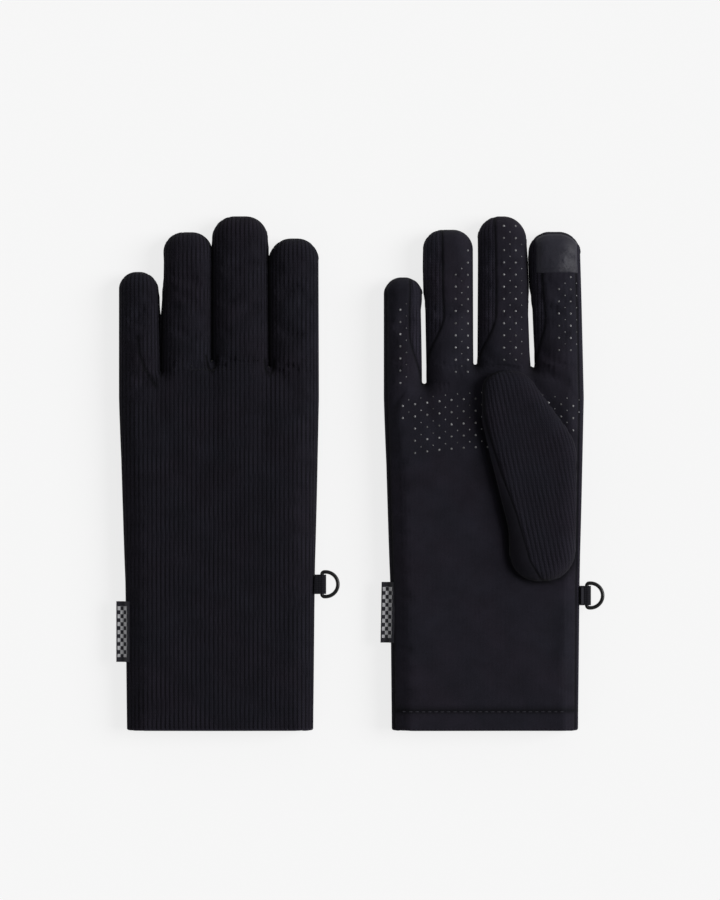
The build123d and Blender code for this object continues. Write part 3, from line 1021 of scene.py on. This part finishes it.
class Nodes:
    """A short way to write a material's nodes."""

    def __init__(self, name):
        self.material = bpy.data.materials.new(name)
        self.material.use_nodes = True
        self.tree = self.material.node_tree
        self.shader = self.tree.nodes["Principled BSDF"]

    def add(self, kind, settings=None, **inputs):
        node = self.tree.nodes.new(kind)
        for key, value in (settings or {}).items():
            setattr(node, key, value)
        for key, value in inputs.items():
            numbered = key[0] == "i" and key[1:].isdigit()
            self.put(node.inputs[int(key[1:]) if numbered else key.replace("_", " ")], value)
        return node

    def put(self, socket, value):
        if hasattr(value, "is_output"):
            self.tree.links.new(value, socket)
        else:
            socket.default_value = value

    def math(self, operation, a, b=0.0, clamp=False):
        node = self.add("ShaderNodeMath", {"operation": operation, "use_clamp": clamp}, i0=a, i1=b)
        return node.outputs[0]

    def times(self, a, b, clamp=False):
        return self.math("MULTIPLY", a, b, clamp)

    def plus(self, a, b, clamp=False):
        return self.math("ADD", a, b, clamp)

    def minus(self, a, b):
        return self.math("SUBTRACT", a, b)

    def stretch(self, value, middle, gain, clamp=False):
        """A value's distance from a middle value, times a gain."""
        return self.times(self.minus(value, middle), gain, clamp)

    def wave(self, value, scale):
        return self.math("SINE", self.times(value, scale))

    def uv(self):
        return self.add("ShaderNodeUVMap", {"uv_map": "knit"}).outputs[0]

    def place(self):
        return self.add("ShaderNodeTexCoord").outputs["Object"]

    def seam(self):
        return self.add("ShaderNodeAttribute", {"attribute_name": "seam"}).outputs["Fac"]

    def noise(self, where, scale, detail, roughness=0.5):
        inputs = {"Vector": where, "Scale": scale, "Detail": detail, "Roughness": roughness}
        return self.add("ShaderNodeTexNoise", **inputs).outputs[0]

    def bump(self, height, strength, distance):
        inputs = {"Height": height, "Strength": strength, "Distance": distance}
        return self.add("ShaderNodeBump", **inputs).outputs[0]

    def mix(self, share, a, b):
        node = self.add("ShaderNodeMix", {"data_type": "RGBA"})
        self.put(node.inputs[0], share)
        self.put(node.inputs[6], a)
        self.put(node.inputs[7], b)
        return node.outputs[2]

    def set(self, **values):
        for key, value in values.items():
            self.put(self.shader.inputs[key.replace("_", " ")], value)


def knit_uv(nodes, scale_x, scale_y):
    """The knit coordinates, as counts of a pitch in millimetres."""
    uv = nodes.uv()
    parts = nodes.add("ShaderNodeSeparateXYZ", i0=uv)
    u = nodes.times(parts.outputs[0], 100 / scale_x)
    v = nodes.times(parts.outputs[1], 100 / scale_y)
    return u, v


# Tints: how much a grey's red, green and blue are raised or lowered, as shares
VIOLET = (-0.02, -0.06, 0.42)
PLUM = (0.05, -0.1, 0.38)
NEUTRAL = (0.0, 0.0, 0.04)


def grey(value, tint=VIOLET):
    """An opaque grey with a tint."""
    return tuple(value * (1 + shift) for shift in tint) + (1.0,)


def stitches(nodes, size):
    """Rows of small knitted loops, as a height from 0 to 1."""
    u, v = knit_uv(nodes, *size)
    across = nodes.math("FRACT", u)
    lean = nodes.math("ABSOLUTE", nodes.minus(across, 0.5))
    row = nodes.math("FRACT", nodes.plus(v, nodes.times(lean, 1.1)))
    loop = nodes.math("ABSOLUTE", nodes.wave(row, pi))
    side = nodes.math("ABSOLUTE", nodes.wave(across, pi))
    return nodes.times(loop, nodes.math("POWER", side, 0.5))


def painted_rib_light(nodes, uv, lean):
    """Painted light on the crests of the ribs and painted shade between them, fading in and out
    over the cloth.
    """
    u, v = knit_uv(nodes, RIB_PITCH / cos(radians(lean)), RIB_PITCH / max(sin(radians(lean)), 1e-6))
    turned = nodes.plus(u, v) if lean else u
    crest = nodes.math("ABSOLUTE", nodes.math("COSINE", nodes.times(turned, pi)))
    patches = nodes.noise(uv, 9.0, 3.0)
    fade = nodes.stretch(patches, 0.38, 4.5, clamp=True)
    return nodes.times(nodes.minus(crest, 0.62), fade)


def fabric(name, tone, stitch, strength, mottling, roughness=0.9, ribs=0.0, lean=0.0):
    """Knitted cloth: rows of small stitches, uneven dye, ribs, and painted light and shade on
    stitches, rib crests and seams.
    """
    nodes = Nodes(name)
    uv = nodes.uv()
    height = stitches(nodes, stitch)
    bump = nodes.bump(height, strength, 0.0002)
    cloud = nodes.noise(uv, 7.0, 5.0, 0.6)
    fuzz = nodes.noise(uv, 190.0, 2.0, 0.7)
    hue = nodes.noise(uv, 3.2, 3.0, 0.55)
    shade = nodes.stretch(cloud, 0.5, 2.6 * mottling)
    shade = nodes.plus(shade, nodes.stretch(fuzz, 0.5, 0.9))
    # painted shade: the stitches' hollows darker and their tops lighter
    shade = nodes.plus(shade, nodes.stretch(height, 0.6, 0.3))
    # painted light on the rib crests and painted shade between them; ribs sets its strength
    if ribs:
        painted_crest_light = painted_rib_light(nodes, uv, lean)
        shade = nodes.plus(shade, nodes.times(painted_crest_light, ribs))
    # the seam attribute is painted shade along seams, at the hem, below the slots and round the
    # thumb, mixed towards a dark grey
    seam = nodes.seam()
    shade = nodes.plus(shade, 0.5, clamp=True)
    spread = nodes.stretch(hue, 0.4, 4.0, clamp=True)
    dark = nodes.mix(spread, grey(tone * 0.45), grey(tone * 0.45, PLUM))
    light = nodes.mix(spread, grey(tone * 1.55), grey(tone * 1.6, PLUM))
    colour = nodes.mix(seam, nodes.mix(shade, dark, light), grey(tone * 0.3))
    rough = nodes.plus(roughness - 0.06, nodes.times(fuzz, 0.12))
    nodes.set(Base_Color=colour, Roughness=rough, Normal=bump)
    nodes.set(Specular_IOR_Level=0.06, Sheen_Weight=0.02, Sheen_Roughness=0.5)
    return nodes.material


RIB_STITCH = (RIB_PITCH / 2, 1.25)
# the right glove's rib knit is a lighter copy of the same yarn: painted light on its rolled edges
RIB_KNIT = {
    "left": fabric("rib_knit_back", 0.0068, RIB_STITCH, 0.6, mottling=0.34, ribs=1.2),
    "right": fabric("rib_knit_palm_side_painted_lighter", 0.0118, RIB_STITCH, 0.6, mottling=0.2, ribs=0.8),
}
THUMB_KNIT = fabric("rib_knit_thumb", 0.0086, RIB_STITCH, 0.6, mottling=0.24, ribs=0.7, lean=12.0)
PALM_JERSEY = fabric("palm_jersey", 0.0102, (0.62, 0.5), 0.35, mottling=0.32, roughness=0.82)


def fleece():
    """Brushed, tufted cloth."""
    nodes = Nodes("fleece_lining")
    uv = nodes.uv()
    tufts = nodes.noise(uv, 110.0, 6.0, 0.75)
    bump = nodes.bump(tufts, 0.9, 0.0006)
    nodes.set(Base_Color=nodes.mix(tufts, grey(0.008), grey(0.028)), Roughness=0.95, Normal=bump)
    nodes.set(Specular_IOR_Level=0.1, Sheen_Weight=0.12, Sheen_Roughness=0.4)
    return nodes.material


def silicone():
    """Printed rubber, paler in places."""
    nodes = Nodes("grip_silicone")
    place = nodes.place()
    patches = nodes.noise(place, 160.0, 2.0)
    share = nodes.stretch(patches, 0.36, 3.0, clamp=True)
    nodes.set(Base_Color=nodes.mix(share, grey(0.03, NEUTRAL), grey(0.22, NEUTRAL)), Roughness=0.3)
    nodes.set(Specular_IOR_Level=0.5)
    return nodes.material


def touch_cloth():
    """A fine, slightly shiny weave, with painted shade along its stitched edge."""
    nodes = Nodes("touch_cloth")
    u, v = knit_uv(nodes, 0.45, 0.45)
    weave = nodes.times(nodes.wave(u, 2 * pi),
                       nodes.wave(v, 2 * pi))
    bump = nodes.bump(weave, 0.25, 0.0001)
    uv = nodes.uv()
    cloud = nodes.noise(uv, 14.0, 4.0)
    seam = nodes.seam()
    base = nodes.mix(cloud, grey(0.009), grey(0.02))
    nodes.set(Base_Color=nodes.mix(seam, base, grey(0.012)), Normal=bump)
    nodes.set(Roughness=nodes.plus(0.42, nodes.times(cloud, 0.2)), Specular_IOR_Level=0.2)
    return nodes.material


def thread():
    """Black sewing thread."""
    nodes = Nodes("sewing_thread")
    place = nodes.place()
    twist = nodes.add("ShaderNodeTexWave", Vector=place, Scale=900.0, Distortion=1.0).outputs["Fac"]
    bump = nodes.bump(twist, 0.4, 0.0001)
    nodes.set(Base_Color=nodes.mix(twist, grey(0.006), grey(0.018)), Roughness=0.6, Normal=bump)
    nodes.set(Specular_IOR_Level=0.25)
    return nodes.material


CHECK_SIZE = (1.5, 1.9)


def within_reach(nodes, value, middle, reach):
    """1 where a value is less than a reach away from a middle value, 0 elsewhere."""
    return nodes.math("LESS_THAN", nodes.math("ABSOLUTE", nodes.minus(value, middle)), reach)


def label_cloth():
    """Black satin tape with a plain band of pale woven checks."""
    nodes = Nodes("label_cloth")
    u, v = knit_uv(nodes, 1.0, 1.0)
    checks = nodes.times(nodes.wave(u, pi / CHECK_SIZE[0]), nodes.wave(v, pi / CHECK_SIZE[1]))
    within = nodes.times(within_reach(nodes, u, 3.6, 2.3), within_reach(nodes, v, 14.5, 12.2))
    square = nodes.times(nodes.math("GREATER_THAN", checks, 0.0), within)
    threads = nodes.wave(v, 2 * pi / 0.35)
    bump = nodes.bump(threads, 0.3, 0.0001)
    uv = nodes.uv()
    worn = nodes.noise(uv, 60.0, 3.0)
    pale = nodes.mix(worn, grey(0.2, NEUTRAL), grey(0.6, NEUTRAL))
    dark = nodes.mix(worn, grey(0.006), grey(0.016))
    nodes.set(Base_Color=nodes.mix(square, dark, pale), Roughness=0.55, Normal=bump)
    nodes.set(Specular_IOR_Level=0.3)
    return nodes.material


def webbing():
    """Black woven tape."""
    nodes = Nodes("webbing")
    place = nodes.place()
    bands = [
        nodes.add("ShaderNodeTexWave", {"bands_direction": axis}, Vector=place, Scale=scale)
        for axis, scale in (("Y", 330.0), ("X", 420.0))
    ]
    weave = nodes.times(bands[0].outputs["Fac"], bands[1].outputs["Fac"])
    bump = nodes.bump(weave, 0.6, 0.00025)
    nodes.set(Base_Color=nodes.mix(weave, grey(0.003), grey(0.011)), Roughness=0.75, Normal=bump)
    nodes.set(Specular_IOR_Level=0.1)
    return nodes.material


def lacquer():
    """Black lacquered metal with fine wear."""
    nodes = Nodes("black_lacquer")
    place = nodes.place()
    wear = nodes.noise(place, 420.0, 5.0)
    rough = nodes.plus(0.24, nodes.times(wear, 0.22))
    nodes.set(Base_Color=nodes.mix(wear, grey(0.002, NEUTRAL), grey(0.007, NEUTRAL)))
    nodes.set(Roughness=rough, Specular_IOR_Level=0.25)
    return nodes.material


FLEECE = fleece()
SILICONE = silicone()
TOUCH_CLOTH = touch_cloth()
THREAD = thread()
LABEL_CLOTH = label_cloth()
WEBBING = webbing()
LACQUER = lacquer()


# ---- Settling the upper fabric -------------------------------------------------------

CLOTH_SCALE = 20.0  # the cloth is settled as a larger copy, which the solver handles better
CLOTH_ROW_STEP = 2.6
CLOTH_COLUMN_STEP = 2.0
CLOTH_TIP_ROWS = 5
CLOTH_FRAMES = 24
CLOTH_GROWTH = 0.035
CLOTH_PRESSURE = 1.4
CLOTH_CAP = 1.3


def settle(side):
    """Let a coarse copy of the upper fabric, a little too large for its outline, buckle."""
    sheet = Sheet()
    for finger in range(len(FINGERS)):
        for grid in (
            hand_grid(side, finger, CLOTH_ROW_STEP, CLOTH_COLUMN_STEP),
            finger_grid(side, finger, CLOTH_ROW_STEP, CLOTH_TIP_ROWS, CLOTH_COLUMN_STEP),
        ):
            position, knit, distance = lay(side, True, grid)
            sheet.add(position, knit, np.clip(1 - (distance - 1.5) / 2, 0, 1), False)
    obj = make_mesh(f"{side}_settling", sheet, side)
    count = len(obj.data.vertices)
    start = np.empty(count * 3)
    obj.data.vertices.foreach_get("co", start)
    obj.data.vertices.foreach_set("co", start * CLOTH_SCALE)
    held = np.empty(count)
    obj.data.attributes["seam"].data.foreach_get("value", held)
    group = obj.vertex_groups.new(name="held")
    for index, weight in enumerate(held.tolist()):
        group.add([index], weight, "REPLACE")
    cloth = obj.modifiers.new("cloth", "CLOTH")
    settings = cloth.settings
    settings.quality = 7
    settings.mass = 0.3
    settings.tension_stiffness = settings.compression_stiffness = 18
    settings.shear_stiffness = 8
    settings.bending_stiffness = 0.35
    settings.air_damping = 2
    settings.vertex_group_mass = "held"
    settings.shrink_min = -CLOTH_GROWTH
    settings.use_pressure = True
    settings.uniform_pressure_force = CLOTH_PRESSURE
    settings.effector_weights.gravity = 0
    scene = bpy.context.scene
    cloth.point_cache.frame_start, cloth.point_cache.frame_end = 1, CLOTH_FRAMES
    for step in range(1, CLOTH_FRAMES + 1):
        scene.frame_set(step)
    graph = bpy.context.evaluated_depsgraph_get()
    settled = obj.evaluated_get(graph)
    end = np.empty(count * 3)
    settled.data.vertices.foreach_get("co", end)
    scene.frame_set(1)
    start, end = start.reshape(-1, 3), end.reshape(-1, 3) / CLOTH_SCALE
    lift = np.clip((end[:, 2] - start[:, 2]) / MM, -CLOTH_CAP, CLOTH_CAP)
    flat = (start - to_frame(side, np.zeros((1, 3)))) / MM
    tree = kdtree.KDTree(count)
    for index, (x, y, _) in enumerate(flat.tolist()):
        tree.insert((x, y, 0), index)
    tree.balance()
    mesh = obj.data
    bpy.data.objects.remove(obj)
    bpy.data.meshes.remove(mesh)
    return tree, lift.tolist()


# ---- Putting it together -------------------------------------------------------------


def cover(obj, material, body, replaced):
    """Give a piece its material, the body that it rides on and the nodes that it replaces."""
    obj.data.materials.append(material)
    if replaced:
        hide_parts(*replaced)
    if body:
        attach(obj, body)


def bend(piece, side, body, points):
    """Bake a piece's placement into its mesh."""
    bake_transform(piece)


def dress_hand(side):
    """The hand's fabric, lining, hem, label, dots and ring."""
    hand = f"{side}_hand"
    knit, palm = hand_pieces(side)
    cover(knit, RIB_KNIT[side], hand, [f"{side}_back_panel"])
    cover(palm, PALM_JERSEY, hand, [f"{side}_palm_panel"])
    cover(lining_piece(side), FLEECE, hand, [f"{side}_lining"])
    cover(hem_piece(side), PALM_JERSEY, hand, [f"{side}_cuff_hem"])
    cover(hem_stitches(side), THREAD, hand, [f"{side}_hem_stitching"])
    cover(side_label(side), LABEL_CLOTH, hand, [f"{side}_side_label"])
    dots = dots_piece(f"{side}_palm_dots", side, palm_spots(side))
    cover(dots, SILICONE, hand, [f"{side}_palm_grip_dots"])
    cover(ring_tube(side), LACQUER, f"{side}_ring_metal", [f"{side}_d_ring"])
    for node, material in (("webbing_loop", WEBBING), ("loop_bartack", THREAD)):
        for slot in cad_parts[f"{side}_{node}"].material_slots:
            slot.material = material


def dress_finger(side, finger):
    """One finger's fabric and dots, and the index finger's touch cap."""
    name = FINGERS[finger]
    base = finger_base(side, finger)
    zone = ((0, base - BLEND_BEFORE, 6.0), (0, base + BLEND_AFTER, 6.0))
    knit, palm = finger_pieces(side, finger)
    spots = [spot for column in FINGER_DOTS[name] for spot in column_spots(*column)]
    dots = dots_piece(f"{side}_{name}_dots", side, spots)
    sleeves = [f"{side}_finger_base_sleeves"] if finger == 0 else []
    cover(knit, RIB_KNIT[side], None, [f"{side}_{name}_back", *sleeves])
    cover(palm, PALM_JERSEY, None, [f"{side}_{name}_front"])
    cover(dots, SILICONE, None, [f"{side}_{name}_grip_dots"])
    for piece in (knit, palm, dots):
        bend(piece, side, name, zone)
    if name == "index":
        patch = touch_patch(side)
        cover(patch, TOUCH_CLOTH, f"{side}_index", [f"{side}_index_touch_patch"])


def dress_thumb(side):
    """The thumb's fabric."""
    knit, palm = thumb_pieces(side)
    middle = sum(THUMB_LEVELS[side][:2]) / 2
    start = np.array(THUMB_HINGE) - THUMB_BLEND[0] * THUMB_ALONG
    end = np.array(THUMB_HINGE) + THUMB_BLEND[1] * THUMB_ALONG
    cover(knit, THUMB_KNIT, None, [f"{side}_thumb_back", f"{side}_thumb_base_sleeve"])
    cover(palm, PALM_JERSEY, None, [f"{side}_thumb_front", f"{side}_thumb_gusset"])
    for piece in (knit, palm):
        bend(piece, side, "thumb", ((*start, middle), (*end, middle)))


for glove_side in SIDES:
    SETTLED[glove_side] = settle(glove_side)
for glove_side in SIDES:
    dress_hand(glove_side)
    dress_thumb(glove_side)
    for glove_finger in range(len(FINGERS)):
        dress_finger(glove_side, glove_finger)


# ---- Floor, light and camera ---------------------------------------------------------

FLOOR_TONE = 0.14
FLOOR_GLOW = 0.785
SKY_GLOW = (0.92, 0.27)  # at the horizon, and overhead
SKY_BAND = (0.25, 0.55)  # the heights in the sky between which the glow changes
KEY_FROM = (1.0, 0.15, 0.62)
KEY_ENERGY = 3.8
KEY_SOFTNESS = 34
FIELD_HEIGHT = 0.432
CAMERA_DISTANCE = 1.7
CAMERA_SHIFT = 0.0034  # from the middle between the gloves' cuffs
CAMERA_RISE = 0.133
SENSOR = 36.0


def make_floor():
    bpy.ops.mesh.primitive_plane_add(size=8.0, location=(0, 0, -0.0002))
    floor = bpy.context.object
    floor.name = "floor"
    nodes = Nodes("pale_paper")
    nodes.set(Base_Color=(FLOOR_TONE, FLOOR_TONE, FLOOR_TONE, 1))
    nodes.set(Roughness=0.9, Specular_IOR_Level=0.0)
    nodes.set(Emission_Color=(1, 1, 1, 1), Emission_Strength=FLOOR_GLOW)
    floor.data.materials.append(nodes.material)


def make_lights():
    world = bpy.data.worlds.new("studio")
    bpy.context.scene.world = world
    world.use_nodes = True
    tree = world.node_tree
    background = tree.nodes["Background"]
    background.inputs[0].default_value = (1.0, 1.0, 1.0, 1)
    place = tree.nodes.new("ShaderNodeTexCoord")
    height = tree.nodes.new("ShaderNodeSeparateXYZ")
    glow = tree.nodes.new("ShaderNodeMapRange")
    glow.inputs["From Min"].default_value, glow.inputs["From Max"].default_value = SKY_BAND
    glow.inputs["To Min"].default_value, glow.inputs["To Max"].default_value = SKY_GLOW
    tree.links.new(place.outputs["Generated"], height.inputs[0])
    tree.links.new(height.outputs["Z"], glow.inputs["Value"])
    tree.links.new(glow.outputs["Result"], background.inputs[1])
    light = bpy.data.lights.new("key", "SUN")
    light.angle = radians(KEY_SOFTNESS)
    light.energy = KEY_ENERGY
    linked("key", light).rotation_euler = (-Vector(KEY_FROM)).to_track_quat("-Z", "Y").to_euler()


def make_camera():
    camera = bpy.data.cameras.new("camera")
    camera.sensor_fit = "VERTICAL"
    camera.sensor_height = SENSOR
    camera.lens = SENSOR * CAMERA_DISTANCE / FIELD_HEIGHT
    camera.clip_end = 20
    obj = linked("camera", camera)
    left = to_frame("left", np.zeros((1, 3)))[0]
    right = to_frame("right", np.zeros((1, 3)))[0]
    middle = (left + right) / 2
    obj.location = (middle[0] + CAMERA_SHIFT, middle[1] + CAMERA_RISE, CAMERA_DISTANCE)
    bpy.context.scene.camera = obj


make_floor()
make_lights()
make_camera()
bpy.context.scene.view_settings.view_transform = "Standard"
